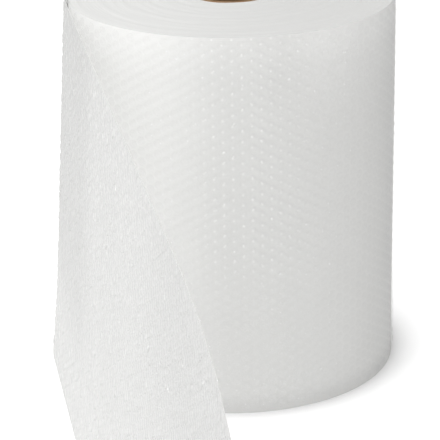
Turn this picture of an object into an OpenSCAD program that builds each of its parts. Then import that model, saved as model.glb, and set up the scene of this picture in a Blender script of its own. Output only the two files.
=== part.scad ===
// Bubble wrap roll, standing on end on its cardboard core, with the free
// end of the web drawn out to the front and standing on its own edge.
// Sizes are in millimetres, angles in degrees.
// The roll's axis is Z, the floor is z = 0 and the front is towards -Y.

/* [Roll] */

// Width of the web, which is the height of the standing roll
web_width = 400; // [250:10:600]
// Radius of the roll over the crowns of its outer bubbles
roll_radius = 172; // [130:1:220]

/* [Bubbles] */

// Distance from bubble to bubble along a column
bubble_pitch = 11; // [9:0.5:14]
// Height of a bubble over the flat film
bubble_rise = 3.2; // [2:0.1:4.5]
// Thickness of the flat film behind the bubbles
film_thickness = 1.2; // [0.8:0.1:2]

/* [Turns] */

// Turns of the spiral that show on each end of the roll
turns_shown = 12; // [4:1:14]
// Width of the gap between two turns on the ends
turn_gap = 1.4; // [0.8:0.1:2]
// Depth of the gap between two turns on the ends
turn_depth = 3; // [1:0.5:6]

/* [Free end] */

// Angle past the roll's left side where the web leaves the roll
leave_angle = 10; // [0:1:25]
// Angle round the roll over which the last turn has come loose
loose_angle = 100; // [80:5:140]
// Distance by which the loose web's lower edge stands out to the left
foot_out = 25; // [10:1:40]
// Step from the roll's surface out to the loose turn at the top
loose_step = 2.5; // [1:0.1:4]
// Length of the free end that runs straight
tail_straight = 700; // [200:10:1200]
// Length of the free end that curves on to its cut end
tail_curved = 330; // [100:10:600]
// Angle through which that last length curves
tail_ease = 6; // [1:1:15]

/* [Core] */

// Inside diameter of the cardboard core
core_bore = 76; // [50:1:80]
// Wall of the cardboard core
core_wall = 4.5; // [3:0.5:8]
// Play between the core and the first turn, on the radius
core_play = 0.2; // [0.1:0.05:0.5]

/* [Hidden] */

// Bubbles sit in a honeycomb, so columns are closer than the bubbles in one.
column_pitch = bubble_pitch * sqrt(3) / 2;
web_thickness = film_thickness + bubble_rise;
film_radius = roll_radius - bubble_rise;
roll_columns = round(2 * PI * film_radius / column_pitch);
column_angle = 360 / roll_columns;

core_radius = core_bore / 2 + core_wall;
first_turn_radius = core_radius + core_play;

// The spiral opens anticlockwise and its outer end is where the web leaves.
exit_angle = 180 + leave_angle;
last_groove_radius = film_radius - film_thickness - turn_gap;
groove_spacing = (last_groove_radius - first_turn_radius - 4) / turns_shown;
groove_steps = 36;

// The loose turn starts inside the roll's skin and ends a step outside it.
loose_columns = round(loose_angle / column_angle);
loose_start = exit_angle - loose_columns * column_angle;
loose_sink = web_thickness + 1;
loose_end_radius = film_radius + loose_step;
loose_length = loose_columns * column_pitch;
lean = atan(foot_out / web_width);
tail_columns = floor((tail_straight + tail_curved) / column_pitch);
web_columns = loose_columns + tail_columns;
curve_radius = tail_curved / (tail_ease * PI / 180);

cardboard = [0.72, 0.56, 0.40];
clear_film = [0.93, 0.94, 0.93];

// Sub-part to build, or all of them

// Outline of one bubble column as [share of the pitch, share of the rise]. A
// column is one ridge here, as high as its bubbles.
crown = [[0.06, 0], [0.24, 0.78], [0.5, 1], [0.76, 0.78]];

function on_circle(radius, angle) = [radius * cos(angle), radius * sin(angle)];

// Point of the free web's flat side at a distance along it, from the place
// where it leaves the roll: straight first, then on a wide curve.
function tail_point(run) =
    let (
        start = on_circle(loose_end_radius, exit_angle),
        heading = exit_angle + 90,
        along = min(run, tail_straight),
        turned = heading - max(run - tail_straight, 0) / tail_curved * tail_ease
    )
    start
        + along * [cos(heading), sin(heading)]
        + curve_radius * [sin(heading) - sin(turned), cos(turned) - cos(heading)];

// Direction that the free web's bubbles point in at that distance.
function tail_facing(run) =
    let (turned = exit_angle - max(run - tail_straight, 0) / tail_curved * tail_ease)
    [cos(turned), sin(turned)];

// Point of the loose web by column number, a height above its flat side.
// Columns up to loose_columns lie round the roll, the rest on the tail.
function web_point(column, height) =
    let (
        share = min(column / loose_columns, 1),
        radius = loose_end_radius - loose_sink * pow(1 - share, 2),
        run = max(column - loose_columns, 0) * column_pitch
    )
    column < loose_columns
        ? on_circle(radius + height, loose_start + column * column_angle)
        : tail_point(run) + height * tail_facing(run);

// The board tube is cut square at both ends.
module core_tube() {
    color(cardboard)
    linear_extrude(web_width)
    difference() {
        circle(r = core_radius, $fn = 96);
        circle(d = core_bore, $fn = 96);
    }
}

// Cross-section of the wound roll, scalloped by its columns of bubbles.
module roll_section() {
    difference() {
        polygon([
            for (column = [0 : roll_columns - 1], knot = crown)
                on_circle(
                    film_radius + knot[1] * bubble_rise,
                    exit_angle + (column + knot[0]) * column_angle
                )
        ]);
        circle(r = first_turn_radius, $fn = 96);
    }
}

// Gap between the turns, as it shows on an end of the roll.
module turns_section() {
    steps = turns_shown * groove_steps;
    radii = [
        for (step = [0 : steps])
            last_groove_radius - groove_spacing * (steps - step) / groove_steps
    ];
    turned = [
        for (step = [0 : steps]) exit_angle - 360 * (steps - step) / groove_steps
    ];
    polygon(concat(
        [for (step = [0 : steps]) on_circle(radii[step] + turn_gap, turned[step])],
        [for (step = [steps : -1 : 0]) on_circle(radii[step], turned[step])]
    ));
}

module wound_roll() {
    difference() {
        linear_extrude(web_width)
        roll_section();

        translate([0, 0, web_width - turn_depth])
        linear_extrude(2 * turn_depth)
        turns_section();

        translate([0, 0, -turn_depth])
        linear_extrude(2 * turn_depth)
        turns_section();
    }
}

// Cross-section of the loose turn and the free end, one strip in all.
module web_section() {
    polygon(concat(
        [
            for (column = [0 : web_columns - 1], knot = crown)
                web_point(column + knot[0], film_thickness + knot[1] * bubble_rise)
        ],
        [for (column = [web_columns : -1 : 0]) web_point(column, 0)]
    ));
}

// The strip leans out to the left at its foot and is trimmed to stand level.
module free_web() {
    reach = 2 * (roll_radius + tail_straight + tail_curved);
    over = roll_radius * sin(lean) + 5;
    intersection() {
        translate([0, 0, web_width])
        rotate([0, lean, 0])
        translate([0, 0, -web_width - over])
        linear_extrude(web_width + 2 * over)
        web_section();

        translate([-reach / 2, -reach, 0])
        cube([reach, 2 * reach, web_width]);
    }
}

module bubble_web() {
    color(clear_film)
    union() {
        wound_roll();
        free_web();
    }
}

core_tube();
bubble_web();
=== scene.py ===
"""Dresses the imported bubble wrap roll: the wound turns, the loose last turn, the free end of the web and the core.

Everything is in metres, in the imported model's own frame: the roll's axis is Z, the floor is z = 0 and the front is
towards -Y. Angles are in degrees round the axis, anticlockwise from +X, unless a name says otherwise.
"""

import logging
import math
from collections.abc import Callable
from dataclasses import dataclass, field, replace
from enum import Enum

import bpy
import numpy as np
from mathutils import Matrix, Vector


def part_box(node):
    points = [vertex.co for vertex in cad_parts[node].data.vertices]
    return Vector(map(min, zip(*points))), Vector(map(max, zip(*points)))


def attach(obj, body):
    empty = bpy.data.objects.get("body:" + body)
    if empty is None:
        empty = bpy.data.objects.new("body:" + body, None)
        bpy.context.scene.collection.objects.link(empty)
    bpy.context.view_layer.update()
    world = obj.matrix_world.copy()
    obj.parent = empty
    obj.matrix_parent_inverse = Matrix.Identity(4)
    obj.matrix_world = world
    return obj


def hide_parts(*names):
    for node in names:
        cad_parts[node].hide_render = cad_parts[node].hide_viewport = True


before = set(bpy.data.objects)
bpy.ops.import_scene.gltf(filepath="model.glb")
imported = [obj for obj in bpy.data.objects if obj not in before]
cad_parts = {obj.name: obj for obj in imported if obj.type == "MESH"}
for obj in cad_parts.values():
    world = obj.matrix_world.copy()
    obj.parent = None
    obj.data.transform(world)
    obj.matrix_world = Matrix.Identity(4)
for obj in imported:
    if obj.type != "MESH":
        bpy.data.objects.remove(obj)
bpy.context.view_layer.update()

log = logging.getLogger("bubble_wrap_roll")

MM = 0.001
SEED = 41


# Meshes


@dataclass
class Patch:
    """Vertices and faces of one or more surfaces that end up in one mesh.

    Attributes:
        points: Vertex places, one row each.
        quads: Faces of four corners.
        triangles: Faces of three corners.
        uv: Place of each vertex on the web, in columns along it and rows up it.
        finish: Number of the finish of each face, the quads before the triangles, or one number for all.
    """

    points: np.ndarray
    quads: np.ndarray = field(default_factory=lambda: np.zeros((0, 4), int))
    triangles: np.ndarray = field(default_factory=lambda: np.zeros((0, 3), int))
    uv: np.ndarray | None = None
    finish: np.ndarray | int = 0

    def finishes(self) -> tuple[np.ndarray, np.ndarray]:
        """Finish numbers of the quads and of the triangles."""
        every = np.broadcast_to(self.finish, len(self.quads) + len(self.triangles))
        return every[: len(self.quads)], every[len(self.quads) :]

    def joined(self, other: "Patch") -> "Patch":
        """Puts another patch's vertices and faces after this one's.

        Args:
            other: The patch to add.

        Returns:
            A new patch that holds both.
        """
        shift = len(self.points)
        both_uv = None
        if self.uv is not None and other.uv is not None:
            both_uv = np.vstack([self.uv, other.uv])
        (quads, triangles), (more_quads, more_triangles) = self.finishes(), other.finishes()
        return Patch(
            np.vstack([self.points, other.points]),
            np.vstack([self.quads, other.quads + shift]),
            np.vstack([self.triangles, other.triangles + shift]),
            both_uv,
            np.concatenate([quads, more_quads, triangles, more_triangles]),
        )


def grid_quads(rows: int, columns: int, ring: bool = False) -> np.ndarray:
    """Faces of a grid of vertices numbered row by row.

    Args:
        rows: Number of rows of vertices.
        columns: Number of vertices in a row.
        ring: Whether each row closes on itself.

    Returns:
        One row of four vertex numbers for each face.
    """
    across = columns if ring else columns - 1
    row, column = np.meshgrid(np.arange(rows - 1), np.arange(across), indexing="ij")
    after = (column + 1) % columns
    this, following = row * columns, (row + 1) * columns
    corners = [this + column, this + after, following + after, following + column]
    return np.stack([corner.ravel() for corner in corners], axis=1)


def make_object(name: str, patch: Patch, *materials: bpy.types.Material, crease: float = 50.0) -> bpy.types.Object:
    """Makes a mesh object from a patch, at the origin and unturned.

    Args:
        name: Name of the piece.
        patch: Its vertices and faces.
        materials: Its finishes, in the order that the patch numbers them.
        crease: Angle in degrees past which an edge stays sharp.

    Returns:
        The new object, linked to the scene.
    """
    mesh = bpy.data.meshes.new(name)
    faces = patch.quads.tolist() + patch.triangles.tolist()
    mesh.from_pydata(patch.points.tolist(), [], faces)
    if patch.uv is not None:
        corner = np.zeros(len(mesh.loops), int)
        mesh.loops.foreach_get("vertex_index", corner)
        layer = mesh.uv_layers.new(name="web")
        layer.data.foreach_set("uv", patch.uv[corner].astype(np.float32).ravel())
    for material in materials:
        mesh.materials.append(material)
    mesh.polygons.foreach_set("material_index", np.concatenate(patch.finishes()).astype(np.int32))
    mesh.polygons.foreach_set("use_smooth", np.ones(len(mesh.polygons), bool))
    mesh.set_sharp_from_angle(angle=math.radians(crease))
    mesh.update()
    piece = bpy.data.objects.new(name, mesh)
    bpy.context.scene.collection.objects.link(piece)
    return piece


# Shader groups and finishes


def new_group(name: str, inputs: dict[str, float], outputs: list[str]) -> bpy.types.ShaderNodeTree:
    """Starts a shader node group with a vector input, the place on the web, and float sockets.

    Args:
        name: Name of the group.
        inputs: Name and default of each float input.
        outputs: Names of the float outputs.

    Returns:
        The group, with its input and output nodes named "in" and "out".
    """
    group = bpy.data.node_groups.new(name, "ShaderNodeTree")
    group.interface.new_socket("Place", in_out="INPUT", socket_type="NodeSocketVector")
    for key, value in inputs.items():
        group.interface.new_socket(key, in_out="INPUT", socket_type="NodeSocketFloat").default_value = value
    for key in outputs:
        group.interface.new_socket(key, in_out="OUTPUT", socket_type="NodeSocketFloat")
    group.nodes.new("NodeGroupInput").name = "in"
    group.nodes.new("NodeGroupOutput").name = "out"
    return group


def math_node(
    tree: bpy.types.ShaderNodeTree, operation: str, *values: float | bpy.types.NodeSocket, clamp: bool = False
) -> bpy.types.NodeSocket:
    """Adds a Math node.

    Args:
        tree: Tree to add it to.
        operation: Its operation, such as "ADD".
        values: A number or a socket for each input.
        clamp: Whether the result is kept from 0 to 1.

    Returns:
        Its output socket.
    """
    node = tree.nodes.new("ShaderNodeMath")
    node.operation = operation
    node.use_clamp = clamp
    for slot, value in zip(node.inputs, values):
        if isinstance(value, bpy.types.NodeSocket):
            tree.links.new(value, slot)
        else:
            slot.default_value = value
    return node.outputs[0]


def film_crinkle_group() -> bpy.types.ShaderNodeTree:
    """Height and haze of thin film that has been blown, pressed and pulled along the web.

    Place is in columns along the web and rows up it. A pull line falls by Fall rows for each column away from
    Start, and by Bend more for each further one. The rows are a cosine whose ridges follow the pull lines
    through the bubbles. It grows and shrinks with coarse noise and fades past Start. The lines are noise that
    is drawn out along the pull lines, Fine lines to a row. Height is the sum of the cosine, the lines and the
    coarse noise, weighted by Rows, Lines and Slack. The cosine is gone and the rest is weak where the web lies
    pressed, below the ninth row, and both reach their full strength at the eighteenth. Haze is what the coarse
    noise has above 0.35.

    Returns:
        The group "film_crinkle".
    """
    inputs = {"Fall": 0.5, "Bend": 0.0, "Start": 0.0, "Fine": 2.2, "Rows": 1.0, "Lines": 1.0, "Slack": 0.6}
    group = new_group("film_crinkle", inputs, ["Height", "Haze"])
    start, end = group.nodes["in"], group.nodes["out"]
    split = group.nodes.new("ShaderNodeSeparateXYZ")
    group.links.new(start.outputs["Place"], split.inputs[0])
    away = math_node(group, "ABSOLUTE", math_node(group, "SUBTRACT", split.outputs["X"], start.outputs["Start"]))
    fall = math_node(group, "MULTIPLY_ADD", away, start.outputs["Bend"], start.outputs["Fall"])
    across = math_node(group, "MULTIPLY_ADD", away, fall, split.outputs["Y"])
    layers = []
    drawn = math_node(group, "MULTIPLY", start.outputs["Fine"], 0.12)
    for along, up in ((drawn, start.outputs["Fine"]), (0.5, 0.5)):
        place = group.nodes.new("ShaderNodeCombineXYZ")
        group.links.new(math_node(group, "MULTIPLY", split.outputs["X"], along), place.inputs["X"])
        group.links.new(math_node(group, "MULTIPLY", across, up), place.inputs["Y"])
        noise = group.nodes.new("ShaderNodeTexNoise")
        noise.inputs["Detail"].default_value = 3.0
        noise.inputs["Scale"].default_value = 1.0
        group.links.new(place.outputs["Vector"], noise.inputs["Vector"])
        layers.append(noise.outputs["Fac"])
    fine, coarse = layers
    upper = math_node(group, "MULTIPLY_ADD", split.outputs["Y"], 0.11, -1.0, clamp=True)
    before = math_node(group, "SUBTRACT", start.outputs["Start"], split.outputs["X"])
    fade = math_node(group, "MULTIPLY_ADD", before, 0.07, 0.75, clamp=True)
    wave = math_node(group, "COSINE", math_node(group, "MULTIPLY", across, 2 * math.pi))
    for strength in (coarse, fade, upper, start.outputs["Rows"]):
        wave = math_node(group, "MULTIPLY", wave, strength)
    height = math_node(group, "MULTIPLY_ADD", fine, start.outputs["Lines"], wave)
    height = math_node(group, "MULTIPLY_ADD", coarse, start.outputs["Slack"], height)
    share = math_node(group, "MULTIPLY_ADD", upper, 0.8, 0.2)
    group.links.new(math_node(group, "MULTIPLY", height, share), end.inputs["Height"])
    group.links.new(math_node(group, "SUBTRACT", coarse, 0.35, clamp=True), end.inputs["Haze"])
    return group


def bubble_print_group() -> bpy.types.ShaderNodeTree:
    """Round marks of the bubbles on the film.

    Place is in columns along the web and rows up it. Bubbles sit at the middle of each cell, half a row off
    in every second column. For both sets of columns the group takes the distance to the nearest centre in
    millimetres, as Radius, Column and Row are, and keeps the smaller. Seal is 1 on the ring where a bubble is
    welded to the film, Disc is 1 inside it, and Crown is 1 at its middle. Each falls to 0 within a millimetre.

    Returns:
        The group "bubble_print".
    """
    group = new_group("bubble_print", {"Radius": 4.9, "Column": 9.526, "Row": 11.0}, ["Seal", "Disc", "Crown"])
    start, end = group.nodes["in"], group.nodes["out"]
    split = group.nodes.new("ShaderNodeSeparateXYZ")
    group.links.new(start.outputs["Place"], split.inputs[0])
    distances = []
    for odd in (0.0, 1.0):
        along = math_node(group, "SUBTRACT", split.outputs["X"], 0.5 + odd)
        along = math_node(group, "DIVIDE", along, 2.0)
        along = math_node(group, "SUBTRACT", along, math_node(group, "ROUND", along))
        along = math_node(group, "MULTIPLY", math_node(group, "MULTIPLY", along, 2.0), start.outputs["Column"])
        up = math_node(group, "SUBTRACT", split.outputs["Y"], 0.5 * (1.0 - odd))
        up = math_node(group, "SUBTRACT", up, math_node(group, "ROUND", up))
        up = math_node(group, "MULTIPLY", up, start.outputs["Row"])
        square = math_node(
            group, "ADD", math_node(group, "MULTIPLY", along, along), math_node(group, "MULTIPLY", up, up)
        )
        distances.append(math_node(group, "SQRT", square))
    nearest = math_node(group, "MINIMUM", *distances)
    gap = math_node(group, "ABSOLUTE", math_node(group, "SUBTRACT", nearest, start.outputs["Radius"]))
    group.links.new(math_node(group, "SUBTRACT", 1.0, gap, clamp=True), end.inputs["Seal"])
    inside = math_node(group, "SUBTRACT", start.outputs["Radius"], nearest, clamp=True)
    group.links.new(inside, end.inputs["Disc"])
    # Crown only places the painted highlights over the bubbles' middles.
    group.links.new(math_node(group, "SUBTRACT", 1.3, nearest, clamp=True), end.inputs["Crown"])
    return group


def painted_light_and_shade_group() -> bpy.types.ShaderNodeTree:
    """One zone of painted light or painted shade, as a share to multiply the film's colour by.

    White is White In plus Amount times two smooth ramps: along the web from column From to column To, and up
    it from row Low to row High. A ramp whose end is smaller than its start runs the other way.

    Returns:
        The group "painted_light_and_shade".
    """
    inputs = {"White In": 1.0, "From": 0.0, "To": 1.0, "Low": 0.0, "High": 1.0, "Amount": 0.0}
    group = new_group("painted_light_and_shade", inputs, ["White"])
    start, end = group.nodes["in"], group.nodes["out"]
    split = group.nodes.new("ShaderNodeSeparateXYZ")
    group.links.new(start.outputs["Place"], split.inputs[0])
    share = start.outputs["Amount"]
    for axis, first, last in (("X", "From", "To"), ("Y", "Low", "High")):
        ramp = group.nodes.new("ShaderNodeMapRange")
        ramp.interpolation_type = "SMOOTHSTEP"
        group.links.new(split.outputs[axis], ramp.inputs["Value"])
        group.links.new(start.outputs[first], ramp.inputs["From Min"])
        group.links.new(start.outputs[last], ramp.inputs["From Max"])
        share = math_node(group, "MULTIPLY", share, ramp.outputs["Result"])
    group.links.new(math_node(group, "ADD", start.outputs["White In"], share), end.inputs["White"])
    return group


class Groups:
    """The shader groups, each built once."""

    def __init__(self) -> None:
        """Builds every group."""
        self.film_crinkle = film_crinkle_group()
        self.bubble_print = bubble_print_group()
        self.painted_light_and_shade = painted_light_and_shade_group()


def group_node(
    tree: bpy.types.ShaderNodeTree, group: bpy.types.ShaderNodeTree, place: bpy.types.NodeSocket
) -> bpy.types.Node:
    """Adds a shader group.

    Args:
        tree: Tree to add it to.
        group: The group.
        place: Socket with the place on the web.

    Returns:
        Its node.
    """
    node = tree.nodes.new("ShaderNodeGroup")
    node.node_tree = group
    tree.links.new(place, node.inputs["Place"])
    return node


def new_material(name: str) -> tuple[bpy.types.Material, bpy.types.ShaderNodeTree, bpy.types.Node]:
    """Starts a node material.

    Args:
        name: Name of the material.

    Returns:
        The material, its tree and its Principled BSDF node.
    """
    material = bpy.data.materials.new(name)
    material.use_nodes = True
    return material, material.node_tree, material.node_tree.nodes["Principled BSDF"]


class Side(Enum):
    """Side of the web that a finish is for."""

    BUBBLES = "bubbles"
    FILM = "film"
    FLAT = "flat"
    END = "end"


@dataclass(frozen=True)
class Pull:
    """How the web was pulled: the inputs of the group "film_crinkle".

    Attributes:
        fall: Rows that a pull line falls for each column away from start.
        bend: What it falls more for each further column.
        start: Column from which both count.
        fine: Fine lines to a row.
        rows: Weight of the rows.
        lines: Weight of the fine lines.
        slack: Weight of the coarse noise.
    """

    fall: float = 0.5
    bend: float = 0.0
    start: float = 57.5
    fine: float = 2.2
    rows: float = 1.2
    lines: float = 0.25
    slack: float = 0.35


@dataclass(frozen=True)
class Zone:
    """Zone of painted light or painted shade on the film: the inputs of the group "painted_light_and_shade".

    Attributes:
        columns: Columns between which its ramp along the web runs, or metres in x on the roll's ends.
        rows: Rows between which its ramp up the web runs, or metres in y there.
        amount: What it adds to the share of the colour.
    """

    columns: tuple[float, float]
    rows: tuple[float, float]
    amount: float


@dataclass(frozen=True)
class FilmFinish:
    """Clear polythene film that looks white where many layers of it lie on each other.

    Attributes:
        name: Name of the material.
        side: Side of the web that it is for.
        colour: Base colour, linear.
        roughness: Roughness where the film is clearest.
        haze: What handling adds to the roughness.
        bump: Depth of the film's crinkles, in metres.
        alpha: Share of what lies behind that the film hides from the eye.
        edge: Share that it hides more where it is seen edge on.
        shade: Share of the light that it stops, small for thin film, which scatters most of it forwards.
        gloss: Specular level and weight of the coat, twice the usual for film that reflects from both faces.
        crowns: Zones of painted highlights, each a bright point over the middle of a bubble.
        pull: How the web was pulled.
        zones: Zones of painted light and painted shade, where its colour is made lighter or darker.
    """

    name: str
    side: Side
    colour: tuple[float, float, float] = (0.84, 0.84, 0.825)
    roughness: float = 0.30
    haze: float = 0.25
    bump: float = 0.3 * MM
    alpha: float = 1.0
    edge: float = 0.0
    shade: float = 1.0
    gloss: float = 0.5
    crowns: tuple[Zone, ...] = ()
    pull: Pull = Pull()
    zones: tuple[Zone, ...] = ()

    def material(self, groups: Groups) -> bpy.types.Material:
        """Builds the material.

        Args:
            groups: The shader groups.

        Returns:
            The new material.
        """
        material, tree, shader = new_material(self.name)
        shader.inputs["IOR"].default_value = 1.50
        shader.inputs["Specular IOR Level"].default_value = self.gloss
        shader.inputs["Coat Weight"].default_value = self.gloss
        shader.inputs["Coat Roughness"].default_value = 0.10
        shader.inputs["Alpha"].default_value = self.alpha
        if self.shade < self.alpha:
            self.pass_light(tree, shader)
        place = tree.nodes.new("ShaderNodeTexCoord")
        self.whiten(tree, shader, groups, place.outputs["Object" if self.side is Side.END else "UV"])
        self.crumple(tree, shader, groups, place.outputs["UV"])
        return material

    def pass_light(self, tree: bpy.types.ShaderNodeTree, shader: bpy.types.Node) -> None:
        """Lets the film hide more from the eye, and most where it is seen edge on, than it stops of the light.

        Args:
            tree: Tree of the material.
            shader: Its shader.
        """
        path = tree.nodes.new("ShaderNodeLightPath")
        facing = tree.nodes.new("ShaderNodeLayerWeight")
        facing.inputs["Blend"].default_value = 0.5
        rim = math_node(tree, "POWER", facing.outputs["Facing"], 5.0)
        share = math_node(tree, "MULTIPLY_ADD", rim, self.edge, self.alpha - self.shade)
        seen = math_node(tree, "MULTIPLY_ADD", path.outputs["Is Camera Ray"], share, self.shade)
        tree.links.new(seen, shader.inputs["Alpha"])

    def whiten(
        self, tree: bpy.types.ShaderNodeTree, shader: bpy.types.Node, groups: Groups, place: bpy.types.NodeSocket
    ) -> None:
        """Colours the film, with painted light and shade by zones and painted highlights over the bubbles.

        Args:
            tree: Tree of the material.
            shader: Its shader.
            groups: The shader groups.
            place: Socket with the place on the web.
        """
        shader.inputs["Base Color"].default_value = (*self.colour, 1.0)
        # Painted light and painted shade: each zone makes the colour lighter or darker.
        white = self.whiteness(tree, groups, place, self.zones, 1.0)
        # Painted highlights: a bright point over the middle of each bubble, standing in for a lamp's glints.
        if self.crowns:
            bright = self.whiteness(tree, groups, place, self.crowns, 0.0)
            marks = group_node(tree, groups.bubble_print, place)
            white = math_node(tree, "MULTIPLY_ADD", marks.outputs["Crown"], bright, white)
        if isinstance(white, bpy.types.NodeSocket):
            tint = tree.nodes.new("ShaderNodeVectorMath")
            tint.operation = "SCALE"
            tint.inputs["Vector"].default_value = self.colour
            tree.links.new(white, tint.inputs["Scale"])
            tree.links.new(tint.outputs["Vector"], shader.inputs["Base Color"])

    def crumple(
        self, tree: bpy.types.ShaderNodeTree, shader: bpy.types.Node, groups: Groups, place: bpy.types.NodeSocket
    ) -> None:
        """Gives the film its crinkles and its haze and, on the flat side, the round seals of the bubbles.

        Args:
            tree: Tree of the material.
            shader: Its shader.
            groups: The shader groups.
            place: Socket with the place on the web.
        """
        crinkle = group_node(tree, groups.film_crinkle, place)
        for key, value in vars(self.pull).items():
            crinkle.inputs[key.title()].default_value = value
        height = crinkle.outputs["Height"]
        rough = math_node(tree, "MULTIPLY_ADD", crinkle.outputs["Haze"], self.haze, self.roughness)
        if self.side is Side.FLAT:
            marks = group_node(tree, groups.bubble_print, place)
            height = math_node(tree, "MULTIPLY_ADD", marks.outputs["Seal"], 2.2, height)
            height = math_node(tree, "MULTIPLY_ADD", marks.outputs["Disc"], 1.1, height)
            rough = math_node(tree, "MULTIPLY_ADD", marks.outputs["Seal"], 0.12, rough)
        tree.links.new(rough, shader.inputs["Roughness"])
        bump = tree.nodes.new("ShaderNodeBump")
        bump.inputs["Distance"].default_value = self.bump
        bump.inputs["Strength"].default_value = 1.0
        tree.links.new(height, bump.inputs["Height"])
        tree.links.new(bump.outputs["Normal"], shader.inputs["Normal"])

    def whiteness(
        self,
        tree: bpy.types.ShaderNodeTree,
        groups: Groups,
        place: bpy.types.NodeSocket,
        zones: tuple[Zone, ...],
        white: float | bpy.types.NodeSocket,
    ) -> float | bpy.types.NodeSocket:
        """Chains one "painted_light_and_shade" group for each zone.

        Args:
            tree: Tree of the material.
            groups: The shader groups.
            place: Socket with the place on the web.
            zones: The zones.
            white: The share that they start from.

        Returns:
            Socket with the share, or the number that they start from where there are no zones.
        """
        for zone in zones:
            node = group_node(tree, groups.painted_light_and_shade, place)
            values = (*zone.columns, *zone.rows, zone.amount)
            for key, value in zip(("From", "To", "Low", "High", "Amount"), values):
                node.inputs[key].default_value = value
            if isinstance(white, bpy.types.NodeSocket):
                tree.links.new(white, node.inputs["White In"])
            else:
                node.inputs["White In"].default_value = white
            white = node.outputs["White"]
        return white


@dataclass(frozen=True)
class KraftFinish:
    """Wound kraft board of the core.

    Attributes:
        name: Name of the material.
        light: Colour of the pale fibres, linear.
        dark: Colour of the dark fibres, linear.
        roughness: Roughness of the board.
    """

    name: str = "kraft_board"
    light: tuple[float, float, float] = (0.42, 0.27, 0.155)
    dark: tuple[float, float, float] = (0.25, 0.15, 0.085)
    roughness: float = 0.85

    def material(self) -> bpy.types.Material:
        """Builds the material.

        Returns:
            The new material, with fibres that lie round the tube.
        """
        material, tree, shader = new_material(self.name)
        shader.inputs["Roughness"].default_value = self.roughness
        shader.inputs["Specular IOR Level"].default_value = 0.25
        place = tree.nodes.new("ShaderNodeTexCoord")
        stretch = tree.nodes.new("ShaderNodeMapping")
        stretch.inputs["Scale"].default_value = (60.0, 60.0, 420.0)
        tree.links.new(place.outputs["Object"], stretch.inputs["Vector"])
        fibres = tree.nodes.new("ShaderNodeTexNoise")
        fibres.inputs["Scale"].default_value = 4.0
        fibres.inputs["Detail"].default_value = 6.0
        tree.links.new(stretch.outputs["Vector"], fibres.inputs["Vector"])
        blotch = tree.nodes.new("ShaderNodeTexNoise")
        blotch.inputs["Scale"].default_value = 35.0
        blotch.inputs["Detail"].default_value = 3.0
        tree.links.new(place.outputs["Object"], blotch.inputs["Vector"])
        blend = math_node(tree, "MULTIPLY_ADD", blotch.outputs["Fac"], 0.5, -0.25)
        blend = math_node(tree, "ADD", fibres.outputs["Fac"], blend, clamp=True)
        colour = tree.nodes.new("ShaderNodeMix")
        colour.data_type = "RGBA"
        colour.inputs["A"].default_value = (*self.dark, 1.0)
        colour.inputs["B"].default_value = (*self.light, 1.0)
        tree.links.new(blend, colour.inputs["Factor"])
        tree.links.new(colour.outputs["Result"], shader.inputs["Base Color"])
        bump = tree.nodes.new("ShaderNodeBump")
        bump.inputs["Distance"].default_value = 0.15 * MM
        tree.links.new(fibres.outputs["Fac"], bump.inputs["Height"])
        tree.links.new(bump.outputs["Normal"], shader.inputs["Normal"])
        return material


# The web


@dataclass(frozen=True)
class WebSizes:
    """Sizes of the web and the roll, in step with the part's source.

    The source has one ridge for each column of bubbles. Here the bubbles are separate and lower, so the film lies
    further out than the foot of a ridge, and the loose turn stands off by less.

    Attributes:
        width: Width of the web, the height of the standing roll.
        film_radius: Radius of the roll under its outer bubbles.
        first_radius: Radius of the first turn's inside.
        turn: Thickness that each turn adds to the roll.
        pitch: Distance between bubbles in a column.
        rise: Height of a bubble over the film.
        bubble_radius: Radius of a bubble at the film.
        film: Thickness of the flat film.
        columns_round: Columns of bubbles round the roll.
        loose_columns: Columns of bubbles on the loose turn.
        leave: Angle past the left side where the web leaves the roll.
        foot_out: Distance by which the loose web's lower edge stands out.
        loose_step: Step from the roll's surface to the loose turn.
        straight: Length of the free end that runs straight.
        curved: Length of the free end that curves.
        ease: Angle through which it curves.
        dent: Depth of the soft web's slow dents.
        settle: Length over which the free end's own dents set in.
        spread: Distance by which the standing roll spreads at its foot.
        curl: Distance by which the loose web's lower edge curls out further than it leans.
    """

    width: float
    film_radius: float = 170.6 * MM
    first_radius: float = 42.7 * MM
    turn: float = 3.5 * MM
    pitch: float = 11 * MM
    rise: float = 3.2 * MM
    bubble_radius: float = 4.9 * MM
    film: float = 0.6 * MM
    columns_round: int = 111
    loose_columns: int = 31
    leave: float = 10.0
    foot_out: float = 25 * MM
    loose_step: float = 1.2 * MM
    straight: float = 700 * MM
    curved: float = 330 * MM
    ease: float = 6.0
    dent: float = 0.5 * MM
    settle: float = 300 * MM
    spread: float = 0.9 * MM
    curl: float = 3.5 * MM

    @property
    def column(self) -> float:
        """Distance between two columns of bubbles."""
        return self.pitch * math.sqrt(3) / 2

    @property
    def column_angle(self) -> float:
        """Angle between two columns on the roll."""
        return 360 / self.columns_round

    @property
    def exit_angle(self) -> float:
        """Angle at which the web leaves the roll."""
        return 180 + self.leave

    @property
    def loose_start(self) -> float:
        """Angle at which the last turn starts to come loose."""
        return self.exit_angle - self.loose_columns * self.column_angle

    @property
    def tail_columns(self) -> int:
        """Columns of bubbles on the free end."""
        return int((self.straight + self.curved) / self.column)

    @property
    def rows(self) -> int:
        """Bubbles in a full column."""
        return int(self.width / self.pitch)

    @property
    def margin(self) -> float:
        """Plain film below the lowest row of bubbles."""
        return (self.width - self.rows * self.pitch) / 2


def unit(angle: np.ndarray) -> np.ndarray:
    """Directions in plan at angles in degrees, one row each."""
    radians = np.radians(angle)
    return np.stack([np.cos(radians), np.sin(radians)], axis=-1)


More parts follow.
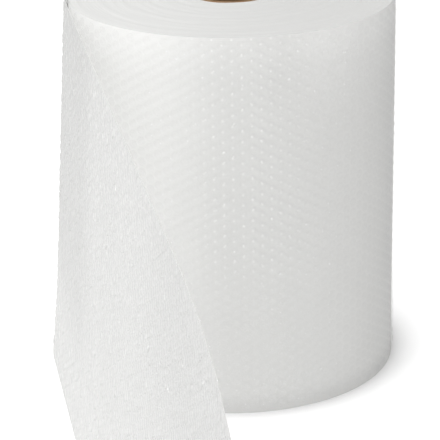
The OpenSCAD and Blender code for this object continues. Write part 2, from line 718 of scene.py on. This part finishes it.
class WebShape:
    """Maps places on the web to places in space.

    A place is (column, up, out): how many columns along the web from the start of the stretch that a method
    maps, the height over the floor, and the distance out from the film's flat side.
    """

    def __init__(self, sizes: WebSizes) -> None:
        """Keeps the sizes and draws the slow waves of the soft web.

        Args:
            sizes: Sizes of the web.
        """
        self.sizes = sizes
        rng = np.random.default_rng(SEED)
        self.waves = [
            (rng.integers(2, 9), rng.uniform(2, 9), rng.uniform(0, 2 * math.pi), rng.uniform(0.5, 1))
            for _ in range(7)
        ]

    def softness(self, column: np.ndarray, up: np.ndarray) -> np.ndarray:
        """Slow dents of a hand-wound roll, as a sum of slanting sine waves.

        Args:
            column: Columns along the web.
            up: Heights over the floor.

        Returns:
            Distances outwards, from about -1 to 1.
        """
        turned = 2 * math.pi * column / self.sizes.columns_round
        total = sum(
            weight * np.sin(around * turned + rise * up / self.sizes.width + phase)
            for around, rise, phase, weight in self.waves
        )
        return total / len(self.waves)

    def wound(self, column: np.ndarray, up: np.ndarray, out: np.ndarray) -> np.ndarray:
        """Outermost full turn: a spiral that grows by one turn's thickness in a full circle.

        The slow dents are added to the radius, and at the foot the spread times a high power of the share of the
        width that is left above.

        Args:
            column: Columns from the turn's start, up to one full circle.
            up: Heights over the floor.
            out: Distances out from the film.

        Returns:
            Places in space.
        """
        s = self.sizes
        share = column / s.columns_round
        foot = s.spread * (1 - up / s.width) ** 12
        radius = s.film_radius - s.turn * (1 - share) + out + foot + s.dent * self.softness(column, up)
        plan = radius[..., None] * unit(s.loose_start + column * s.column_angle)
        return np.concatenate([plan, up[..., None]], axis=-1)

    def free(self, column: np.ndarray, up: np.ndarray, out: np.ndarray) -> np.ndarray:
        """Loose turn and free end, with the foot standing out from the roll.

        Up to loose_columns the film lies on a circle that widens by the loose step. From there it runs straight
        along the circle's tangent, and then along an arc that turns by the ease angle. At each height the film
        moves out along its own facing, times how far it faces left: by foot_out times the share of the width that
        is left above, and by the curl times a high power of that share. The roll's dents fade out along the loose
        turn, where they only go inwards, and closer ones set in along the free end.

        Args:
            column: Columns from the start of the loose turn.
            up: Heights over the floor.
            out: Distances out from the film's flat side.

        Returns:
            Places in space.
        """
        s = self.sizes
        run = np.maximum(column - s.loose_columns, 0) * s.column
        bend = np.maximum(run - s.straight, 0) / s.curved * s.ease
        on_turn = column < s.loose_columns
        facing = np.where(on_turn, s.loose_start + column * s.column_angle, s.exit_angle - bend)
        share = np.clip(column / s.loose_columns, 0, 1)
        low = 1 - up / s.width
        lean = (s.foot_out * low + s.curl * low**8) * -np.cos(np.radians(facing))
        dents = (self.softness(column, up) - 1) * (1 - share)
        dents = dents + self.softness(column * 1.7, up) * np.clip(run / s.settle, 0, 1)
        moved = (out + np.maximum(lean, 0) + s.dent * dents)[..., None] * unit(facing)
        radius = s.film_radius + s.loose_step * share
        on_roll = radius[..., None] * unit(facing)
        start = (s.film_radius + s.loose_step) * unit(np.array(s.exit_angle))
        heading = math.radians(s.exit_angle + 90)
        turned = heading - np.radians(bend)
        wide = s.curved / math.radians(s.ease)
        along = np.minimum(run, s.straight)[..., None] * np.array([math.cos(heading), math.sin(heading)])
        arc = wide * np.stack([math.sin(heading) - np.sin(turned), np.cos(turned) - math.cos(heading)], axis=-1)
        plan = np.where(on_turn[..., None], on_roll, start + along + arc) + moved
        return np.concatenate([plan, up[..., None]], axis=-1)


@dataclass(frozen=True)
class BubbleShape:
    """One bubble as rings of vertices that rise to a crown.

    Attributes:
        sides: Vertices in a ring.
        rings: Radius and height of each ring, as shares of the bubble's.
        uneven: Spread of the bubbles' heights, as a share.
        drift: Spread of the crowns' places, in metres.
        slack: Share of bubbles that have lost most of their air.
        fullness: Share of its height that a bubble keeps under the pull of the web.
    """

    sides: int = 8
    rings: tuple[tuple[float, float], ...] = ((1.0, -0.06), (0.80, 0.44), (0.44, 0.84))
    uneven: float = 0.10
    drift: float = 0.35 * MM
    slack: float = 0.015
    fullness: float = 1.0

    def patch(
        self,
        s: WebSizes,
        place: Callable[[np.ndarray, np.ndarray, np.ndarray], np.ndarray],
        columns: range,
        first: int,
        rng: np.random.Generator,
    ) -> Patch:
        """Bubbles of a run of columns, in a honeycomb.

        Each ring point is its bubble's centre plus the ring's radius in the direction of its angle, measured along
        the web and up it, and it stands out from the film by the ring's height. The crown is shifted at random.

        Args:
            s: Sizes of the web.
            place: The web's method that maps them.
            columns: Columns to fill, counted from the start of that stretch.
            first: Number of the stretch's first column on the whole web. The odd columns sit half a row higher.
            rng: Random draws.

        Returns:
            The bubbles.
        """
        margin = s.margin
        centres = []
        for column in columns:
            odd = (first + column) % 2
            rows = np.arange(s.rows - odd)
            up = margin + (rows + 0.5 + 0.5 * odd) * s.pitch
            centres.append(np.stack([np.full(len(rows), column + 0.5), up], axis=1))
        centre = np.vstack(centres)
        count, rings = len(centre), len(self.rings)
        height = self.fullness * s.rise * (1 - self.uneven * rng.random(count))
        height = np.where(rng.random(count) < self.slack, 0.4 * height, height)
        drift = rng.normal(0, self.drift, (count, 2))
        turned = rng.random(count) * 2 * math.pi
        angle = turned[:, None] + np.arange(self.sides) * 2 * math.pi / self.sides
        parts_column, parts_up, parts_out = [], [], []
        for radius, level in self.rings:
            reach = radius * s.bubble_radius
            shift = max(level, 0.0)
            parts_column.append(centre[:, :1] + (reach * np.cos(angle) + shift * drift[:, :1]) / s.column)
            parts_up.append(centre[:, 1:] + reach * np.sin(angle) + shift * drift[:, 1:])
            parts_out.append(np.repeat((s.film + level * height)[:, None], self.sides, axis=1))
        parts_column.append(centre[:, :1] + drift[:, :1] / s.column)
        parts_up.append(centre[:, 1:] + drift[:, 1:])
        parts_out.append((s.film + height)[:, None])
        column, up, out = (np.concatenate(part, axis=1) for part in (parts_column, parts_up, parts_out))
        points = place(column, up, out).reshape(-1, 3)
        size = rings * self.sides + 1
        ring_quads = grid_quads(rings, self.sides, ring=True)
        last = (rings - 1) * self.sides + np.arange(self.sides)
        cap = np.stack([last, np.roll(last, -1), np.full(self.sides, size - 1)], axis=1)
        start = (np.arange(count) * size)[:, None, None]
        uv = np.stack([column + first, (up - margin) / s.pitch], axis=-1).reshape(-1, 2)
        return Patch(points, (ring_quads + start).reshape(-1, 4), (cap + start).reshape(-1, 3), uv, 1)


@dataclass
class WebPart:
    """A stretch of the web.

    Attributes:
        web: Shape of the web.
        bubble: Shape of a bubble.
        pieces: The finished pieces.
    """

    web: WebShape
    bubble: BubbleShape
    pieces: list[bpy.types.Object] = field(default_factory=list)

    def dress(self) -> None:
        """Ties the pieces to the frame."""
        for piece in self.pieces:
            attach(piece, "root")
            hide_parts("bubble_web")


@dataclass
class WoundRoll(WebPart):
    """The wound turns: the outer skin with its bubbles and the two ends with their spiral.

    Attributes:
        steps: Vertices for each column of bubbles, round the roll.
        levels: Vertices up the skin.
        lip: Depth and height of each point of the skin's soft rim, in millimetres.
        tuck: Distance from the skin's film in to the ends' outer edge.
    """

    steps: int = 3
    levels: int = 12
    lip: tuple[tuple[float, float], ...] = ((0.4, 0.4), (0.2, 0.15), (0.05, 0.03), (0.0, 0.3))
    tuck: float = 0.5 * MM

    def skin(self) -> Patch:
        """Film of the outermost turn: a profile with a rim at both edges, carried once round the spiral.

        Returns:
            The film.
        """
        s = self.web.sizes
        around = np.linspace(0, s.columns_round, s.columns_round * self.steps + 1)
        lower = [(-depth * MM, height * MM) for depth, height in self.lip]
        side = [(0.0, level) for level in np.linspace(2 * MM, s.width - 2 * MM, self.levels)]
        upper = [(depth, s.width - height) for depth, height in reversed(lower)]
        out, up = (np.array(part) for part in zip(*(lower + side + upper)))
        column, _ = np.meshgrid(around, out, indexing="ij")
        ups = np.broadcast_to(up, column.shape)
        points = self.web.wound(column, ups, np.broadcast_to(out, column.shape)).reshape(-1, 3)
        uv = np.stack([column, (ups - s.margin) / s.pitch], axis=-1).reshape(-1, 2)
        return Patch(points, grid_quads(*column.shape), uv=uv)

    def end(self, top: bool, steps: int, across: int) -> Patch:
        """One end of the roll: a surface wound along the spiral of the turns.

        Along the spiral the film's edge stands level with the end, a little high or low by slow waves. Across a
        turn the surface dips between one film edge and the next, as a flattened hump, and it dips less where a
        bubble's flank lies near the edge, once in each column.

        Args:
            top: Whether it is the upper end.
            steps: Vertices for each column of the outermost turn.
            across: Vertices across one turn.

        Returns:
            The end's surface.
        """
        s = self.web.sizes
        turns = (s.film_radius - s.first_radius) / s.turn
        per_turn = s.columns_round * steps
        left = np.arange(int(turns * per_turn), -1, -1) / per_turn
        share = np.linspace(0, 1, across)
        back, part = np.meshgrid(left, share, indexing="ij")
        radius = s.film_radius - s.turn * (back + part) - self.tuck
        angle = s.loose_start - 360 * back
        length = 2 * math.pi * (s.film_radius * back - s.turn * back**2 / 2)
        bubble = np.cos(math.pi * length / s.column) ** 2
        edge = self.edge_height(back) * (1 - part) + self.edge_height(back + 1) * part
        dip = (1 - np.abs(2 * part - 1) ** 3) * (0.14 - 0.06 * bubble) * MM
        down = edge + dip
        up = s.width - down if top else down
        plan = radius[..., None] * unit(angle)
        points = np.concatenate([plan, up[..., None]], axis=-1).reshape(-1, 3)
        quads = grid_quads(*back.shape)
        if not top:
            quads = quads[:, ::-1]
        uv = np.stack([length / s.column, up / s.pitch], axis=-1).reshape(-1, 2)
        return Patch(points, quads, uv=uv)

    def edge_height(self, back: np.ndarray) -> np.ndarray:
        """How far a film edge stands below the end of the roll, from sine waves along the spiral.

        Args:
            back: Turns counted inwards from the outermost.

        Returns:
            Distances, up to about 0.9 mm, and less over the outermost half turn.
        """
        wave = np.sin(2 * math.pi * back * 3.17 + 1.1) + np.sin(2 * math.pi * back * 7.61 + 0.4) * 0.6
        slow = np.sin(back * 1.9) * 0.8
        return (0.5 + 0.15 * (wave + slow)) * MM * np.clip(back * 2, 0.15, 1)

    def build(self, film: bpy.types.Material, dome: bpy.types.Material, end: bpy.types.Material) -> None:
        """Makes the pieces.

        Args:
            film: Finish of the film between the bubbles, with the turns behind it.
            dome: Finish of the bubbles.
            end: Finish of the ends.
        """
        rng = np.random.default_rng(SEED + 1)
        columns = range(self.web.sizes.columns_round)
        bubbles = self.bubble.patch(self.web.sizes, self.web.wound, columns, 0, rng)
        self.pieces = [
            make_object("wound_turns", self.skin().joined(bubbles), film, dome),
            make_object("turn_edges_top", self.end(True, 4, 5), end),
            make_object("turn_edges_bottom", self.end(False, 2, 3), end),
        ]


@dataclass
class FreeWeb(WebPart):
    """The loose part of the last turn and the free end of the web.

    Attributes:
        levels: Vertices up the film.
    """

    levels: int = 26

    def film(self, first: float, last: float, steps: int) -> Patch:
        """Film as a closed strip: a loop up its outer side and down its flat side, carried along the web.

        Args:
            first: Column that it starts at.
            last: Column that it ends at.
            steps: Vertices for each column.

        Returns:
            The film, closed at both ends.
        """
        s = self.web.sizes
        stations = np.linspace(first, last, int((last - first) * steps) + 1)
        rise = np.linspace(0, s.width, self.levels)
        up = np.concatenate([rise, rise[::-1]])
        out = np.concatenate([np.full(self.levels, s.film), np.zeros(self.levels)])
        column, _ = np.meshgrid(stations, up, indexing="ij")
        ups, outs = np.broadcast_to(up, column.shape), np.broadcast_to(out, column.shape)
        points = self.web.free(column, ups, outs).reshape(-1, 3)
        loop = 2 * self.levels
        quads = grid_quads(len(stations), loop, ring=True)[:, ::-1]
        level = np.arange(self.levels - 1)
        cap = np.stack([level, level + 1, loop - 2 - level, loop - 1 - level], axis=1)
        far = cap[:, ::-1] + (len(stations) - 1) * loop
        side = np.arange(len(quads)) % loop
        flat = (side >= self.levels) & (side < loop - 1)
        rim = (side == self.levels - 1) | (side == loop - 1)
        finish = np.concatenate([np.select([flat, rim], [2, 3], 0), np.full(2 * len(cap), 3)])
        uv = np.stack([column + s.columns_round, (ups - s.margin) / s.pitch], axis=-1).reshape(-1, 2)
        return Patch(points, np.vstack([quads, cap, far]), uv=uv, finish=finish)

    def build(self, *finishes: bpy.types.Material) -> None:
        """Makes the loose turn and the free end.

        Args:
            finishes: Finishes of the film between the bubbles, the bubbles, the flat side and the cut edges.
        """
        s = self.web.sizes
        rng = np.random.default_rng(SEED + 2)
        end = s.loose_columns + s.tail_columns
        for name, first, last in (("loose_turn", 0, s.loose_columns), ("free_end", s.loose_columns, end)):
            domes = self.bubble.patch(s, self.web.free, range(first, last), s.columns_round, rng)
            self.pieces.append(make_object(name, self.film(first, last, 2).joined(domes), *finishes))


# The core


@dataclass
class Core:
    """Spiral-wound board tube.

    Attributes:
        inner: Radius of its bore.
        outer: Radius of its outside.
        length: Its length.
        plies: Layers of board that show on its cut ends.
        lead: Height that the outer strip climbs in one turn.
        seam: Depth of the seam between two edges of a strip.
        piece: The finished piece.
    """

    inner: float
    outer: float
    length: float
    plies: int = 6
    lead: float = 130 * MM
    seam: float = 0.35 * MM
    piece: bpy.types.Object | None = None

    def groove(self, angle: np.ndarray, up: np.ndarray) -> np.ndarray:
        """Depth of the helical seam: a narrow bell round the line where angle and height are in step.

        Args:
            angle: Angles round the tube, in degrees.
            up: Heights.

        Returns:
            Depths, from 0 to the seam's depth.
        """
        turns = up / self.lead - angle / 360
        away = (turns - np.round(turns)) * self.lead
        return self.seam * np.exp(-((away / (1.2 * MM)) ** 2))

    def build(self, material: bpy.types.Material, around: int = 120, levels: int = 90) -> None:
        """Makes the tube: a closed profile carried round the axis, with seams on its walls and plies on its ends.

        Args:
            material: Its finish.
            around: Vertices round the tube.
            levels: Vertices up each wall.
        """
        plies = np.linspace(0, 1, 2 * self.plies + 1)
        radii = self.inner + (self.outer - self.inner) * plies
        step = np.where(np.arange(len(plies)) % 2, 0.25 * MM, 0.0)
        step[[0, -1]] = 0.3 * MM
        walls = np.linspace(1 * MM, self.length - 1 * MM, levels)
        radius = np.concatenate([radii, np.full(levels, self.outer), radii[::-1], np.full(levels, self.inner)])
        up = np.concatenate([step, walls, self.length - step[::-1], walls[::-1]])
        side = np.concatenate([np.zeros(len(radii)), np.ones(levels), np.zeros(len(radii)), -np.ones(levels)])
        angle, _ = np.meshgrid(np.arange(around) * 360 / around, up, indexing="ij")
        ups = np.broadcast_to(up, angle.shape)
        depth = self.groove(angle, ups)
        radial = radius - side * depth
        plan = radial[..., None] * unit(angle)
        points = np.concatenate([plan, ups[..., None]], axis=-1).reshape(-1, 3)
        loop = len(up)
        quads = grid_quads(around, loop, ring=True)
        link = np.arange(loop)
        last = (around - 1) * loop
        close = np.stack([last + link, last + (link + 1) % loop, (link + 1) % loop, link], axis=1)
        patch = Patch(points, np.vstack([quads, close])[:, ::-1])
        self.piece = make_object("core", patch, material, crease=35)

    def dress(self) -> None:
        """Ties the tube to the frame."""
        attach(self.piece, "root")
        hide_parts("core_tube")


# Studio


@dataclass(frozen=True)
class Lamp:
    """A soft square light.

    Attributes:
        name: Its name.
        place: Where it hangs.
        target: What it points at.
        size: Its side.
        power: Its power in watts.
        glints_only: Whether it shows in reflections only, so that it makes glints and lights nothing else.
    """

    name: str
    place: tuple[float, float, float]
    target: tuple[float, float, float]
    size: float
    power: float
    glints_only: bool = False

    def build(self) -> None:
        """Makes the light."""
        data = bpy.data.lights.new(self.name, "AREA")
        data.size = self.size
        data.energy = self.power
        lamp = bpy.data.objects.new(self.name, data)
        lamp.location = self.place
        lamp.visible_diffuse = not self.glints_only
        aim = Vector(self.target) - Vector(self.place)
        lamp.rotation_euler = aim.to_track_quat("-Z", "Y").to_euler()
        bpy.context.scene.collection.objects.link(lamp)


@dataclass
class Studio:
    """Floor, light and camera.

    Attributes:
        lamps: The soft lights.
        sky: Strength of the white surroundings.
        lens: Focal length for a 36 mm wide sensor.
        eye: Place of the camera.
        pitch: Angle that the camera looks down.
        roll: Angle that the camera is turned clockwise about its own line of sight.
    """

    lamps: tuple[Lamp, ...] = (
        Lamp("key", (-1.6, -0.8, 2.6), (0.0, 0.0, 0.2), 2.0, 23.0),
        Lamp("top", (0.0, 0.2, 2.6), (0.0, 0.0, 0.3), 1.5, 8.0),
        Lamp("big_front", (-0.2, -3.2, 1.6), (0.0, 0.0, 0.2), 3.0, 37.0),
        Lamp("low_left", (-2.2, 0.3, 0.7), (0.0, 0.0, 0.2), 1.2, 7.0),
        Lamp("glints", (0.35, -2.5, 0.7), (0.0, 0.0, 0.2), 0.9, 60.0, glints_only=True),
    )
    sky: float = 0.44
    lens: float = 174.66
    eye: tuple[float, float, float] = (-0.0152, -2.1375, 0.9855)
    pitch: float = 21.43
    roll: float = 0.935

    def floor(self) -> None:
        """Makes the floor, plain but for a painted contact shadow near the roll.

        To the camera it glows by fullest times 1 less the exponential of (start less the distance from the roll's
        axis) over reach, so that it turns white away from the roll. Close to the roll the glow falls to nothing: a
        painted contact shadow round the roll's foot, on top of the shadow that the lamps cast.
        """
        fullest, start, reach = 0.55, 0.17, 0.026
        material, tree, shader = new_material("studio_floor")
        shader.inputs["Base Color"].default_value = (0.93, 0.93, 0.93, 1.0)
        shader.inputs["Roughness"].default_value = 0.9
        shader.inputs["Specular IOR Level"].default_value = 0.1
        shader.inputs["Emission Color"].default_value = (1.0, 1.0, 1.0, 1.0)
        path = tree.nodes.new("ShaderNodeLightPath")
        place = tree.nodes.new("ShaderNodeTexCoord")
        length = tree.nodes.new("ShaderNodeVectorMath")
        length.operation = "LENGTH"
        tree.links.new(place.outputs["Object"], length.inputs[0])
        # Painted contact shadow: the glow seen by the camera fades out towards the roll's foot.
        away = math_node(tree, "SUBTRACT", start, length.outputs["Value"])
        fade = math_node(tree, "EXPONENT", math_node(tree, "DIVIDE", away, reach))
        glow = math_node(tree, "MULTIPLY", math_node(tree, "SUBTRACT", 1.0, fade, clamp=True), fullest)
        seen = math_node(tree, "MULTIPLY_ADD", path.outputs["Is Camera Ray"], glow, 0.05)
        tree.links.new(seen, shader.inputs["Emission Strength"])
        half = 12.0
        corners = np.array([[-half, -half, 0], [half, -half, 0], [half, half, 0], [-half, half, 0]])
        floor = make_object("studio_floor", Patch(corners, np.array([[0, 1, 2, 3]])), material)

    def world(self) -> None:
        """Sets the white surroundings."""
        world = bpy.data.worlds.new("studio")
        world.use_nodes = True
        back = world.node_tree.nodes["Background"]
        back.inputs["Color"].default_value = (1.0, 1.0, 1.0, 1.0)
        back.inputs["Strength"].default_value = self.sky
        bpy.context.scene.world = world
        bpy.context.scene.view_settings.view_transform = "Standard"

    def camera(self) -> None:
        """Sets the camera: pitched down, then turned about its own line of sight."""
        data = bpy.data.cameras.new("camera")
        data.lens = self.lens
        data.sensor_width = 36.0
        data.sensor_fit = "HORIZONTAL"
        data.clip_end = 100.0
        camera = bpy.data.objects.new("camera", data)
        tilt = Matrix.Rotation(math.radians(90 - self.pitch), 4, "X")
        turn = Matrix.Rotation(math.radians(-self.roll), 4, "Z")
        camera.matrix_world = Matrix.Translation(self.eye) @ tilt @ turn
        bpy.context.scene.collection.objects.link(camera)
        bpy.context.scene.camera = camera

    def build(self) -> None:
        """Makes everything in the studio."""
        self.floor()
        self.world()
        for lamp in self.lamps:
            lamp.build()
        self.camera()


# The whole scene


def film_finishes() -> tuple[FilmFinish, ...]:
    """The finishes of the film.

    The roll's film is lighter or darker by zones of painted light and painted shade, where the lamps light it
    more or less, and the free web has zones of painted shade and a little painted light. A zone with the ramp
    "whole" is at full strength all along it.

    Returns:
        Those of the roll's bubbles, the free web's crushed bubbles, the roll's film, the free web's film, its flat
        side and the cut edges.
    """
    whole = (-2.0, -1.0)
    # Painted light and painted shade on the roll: lighter and darker bands round it, lighter under the top rim,
    # darker at the foot.
    layers = (
        Zone((37, 45), whole, 0.05),
        Zone((47, 56), whole, -0.12),
        Zone((59, 71), whole, 0.02),
        Zone((60, 66), (26, 36), 0.08),
        Zone((73, 79), (6, 14), -0.05),
        Zone(whole, (32, 36), 0.06),
        Zone(whole, (2.0, 0.3), -0.08),
    )
    # Painted highlights: bright points over the bubbles' middles, strongest in a band of columns at the roll's
    # front.
    points = (Zone((50, 54), (10, 16), 0.22), Zone((59, 66), (10, 16), -0.18))
    # Painted shade on the free web near the roll and at its far end, with a little painted light low down near the
    # roll.
    tail_painted_shading = (
        Zone((171, 157), (3, 14), -0.1),
        Zone((179, 171), (12, 5), 0.03),
        Zone((192, 220), (14, 30), -0.09),
    )
    shaded = (Zone((-0.13, 0.06), whole, -0.09),)
    crushed = Pull(fall=-0.32, bend=-0.0012, start=143, fine=4.0, rows=0.0, lines=5.0, slack=0.8)
    roll_bubbles = FilmFinish(
        "film_bubbles",
        Side.BUBBLES,
        (0.93, 0.93, 0.92),
        roughness=0.08,
        haze=0.05,
        bump=0.03 * MM,
        alpha=0.045,
        edge=0.12,
        shade=0.01,
        gloss=1.0,
    )
    roll_film = FilmFinish(
        "film_many_layers", Side.FILM, bump=0.15 * MM, gloss=0.06, crowns=points, zones=layers
    )
    free_film = FilmFinish(
        "film_one_layer",
        Side.FILM,
        (0.81, 0.81, 0.797),
        bump=0.28 * MM,
        shade=0.12,
        gloss=0.25,
        pull=crushed,
        zones=tail_painted_shading,
    )
    free_bubbles = replace(free_film, name="film_slack_bubbles", side=Side.BUBBLES, gloss=0.5)
    flat = FilmFinish("film_flat", Side.FLAT, roughness=0.26, bump=0.15 * MM, shade=0.12)
    edges = FilmFinish(
        "film_edges", Side.END, (0.91, 0.91, 0.895), roughness=0.6, bump=0.01 * MM, gloss=0.1, zones=shaded
    )
    return roll_bubbles, free_bubbles, roll_film, free_film, flat, edges


def main() -> None:
    logging.basicConfig(level=logging.INFO, format="%(message)s")
    low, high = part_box("bubble_web")
    core_low, core_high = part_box("core_tube")
    Studio().build()
    groups = Groups()
    dome, slack, backed, film, flat, ends = (finish.material(groups) for finish in film_finishes())

    web = WebShape(WebSizes(width=high[2] - low[2]))
    core = Core(inner=38 * MM, outer=(core_high[0] - core_low[0]) / 2, length=core_high[2] - core_low[2])
    core.build(KraftFinish().material())
    core.dress()
    roll = WoundRoll(web, BubbleShape(fullness=0.55))
    roll.build(backed, dome, ends)
    roll.dress()
    tail = FreeWeb(web, BubbleShape(uneven=0.9, drift=0.9 * MM, fullness=0.35))
    tail.build(film, slack, flat, ends)
    tail.dress()
    for piece in [core.piece, *roll.pieces, *tail.pieces]:
        count = sum(len(face.vertices) - 2 for face in piece.data.polygons)
        log.info("%s: %d triangles", piece.name, count)


if __name__ == "__main__":
    main()
